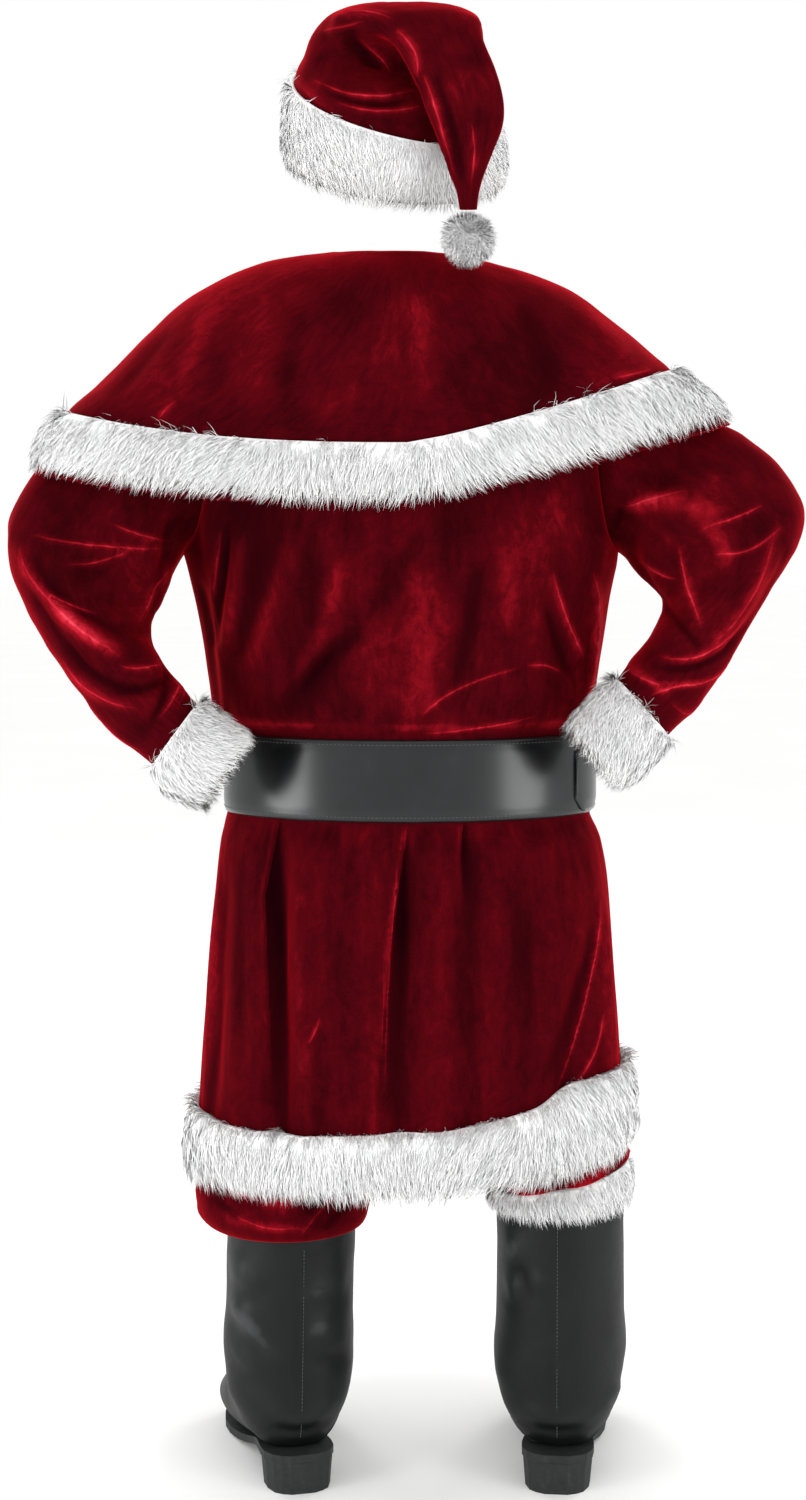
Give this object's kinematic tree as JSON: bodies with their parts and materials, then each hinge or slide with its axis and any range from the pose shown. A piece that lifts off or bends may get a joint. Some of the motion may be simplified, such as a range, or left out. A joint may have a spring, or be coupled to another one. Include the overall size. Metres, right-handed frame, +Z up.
{
  "type": "santa suit",
  "caption": "Red velvet Santa suit as worn: hat with pompom, short cape, belted coat, trousers and boots, edged in white fur and empty inside.",
  "frame": {"origin": "between the shoulders inside the coat, 1.46 m above the soles, where the wearer carries the suit", "axes": "+Z up; the suit's front faces -Y and the wearer's left is +X"},
  "size_m": [0.946, 0.4711, 1.8218],
  "materials": {
    "velvet": "deep red crushed velvet with a bright nap",
    "fur": "white long-pile faux fur",
    "belt": "dark grey leatherette with a soft sheen",
    "boots": "charcoal leatherette, matte",
    "soles": "matte black",
    "metal": "polished"
  },
  "bodies": {
    "root": {"belt": "belt", "belt_end": "belt", "belt_buckle": "metal", "belt_prong": "metal", "cape_clasp": "metal", "cape": "velvet", "coat_back": "velvet", "coat_front_left": "velvet", "coat_front_right": "velvet", "sleeve_left": "velvet", "sleeve_right": "velvet", "hat_crown": "velvet", "trouser_left": "velvet", "trouser_right": "velvet", "trouser_waistband": "velvet", "cape_fur": "fur", "coat_hem_fur": "fur", "cuff_left": "fur", "cuff_right": "fur", "front_fur_lower": "fur", "front_fur_upper": "fur", "hat_fur": "fur", "hat_pompom": "fur", "boot_fur_left": "fur", "boot_fur_right": "fur", "boot_shaft_left": "boots", "boot_shaft_right": "boots", "boot_foot_left": "boots", "boot_foot_right": "boots", "boot_sole_left": "soles", "boot_sole_right": "soles", "boot_heel_left": "soles", "boot_heel_right": "soles"}
  },
  "joints": []
}
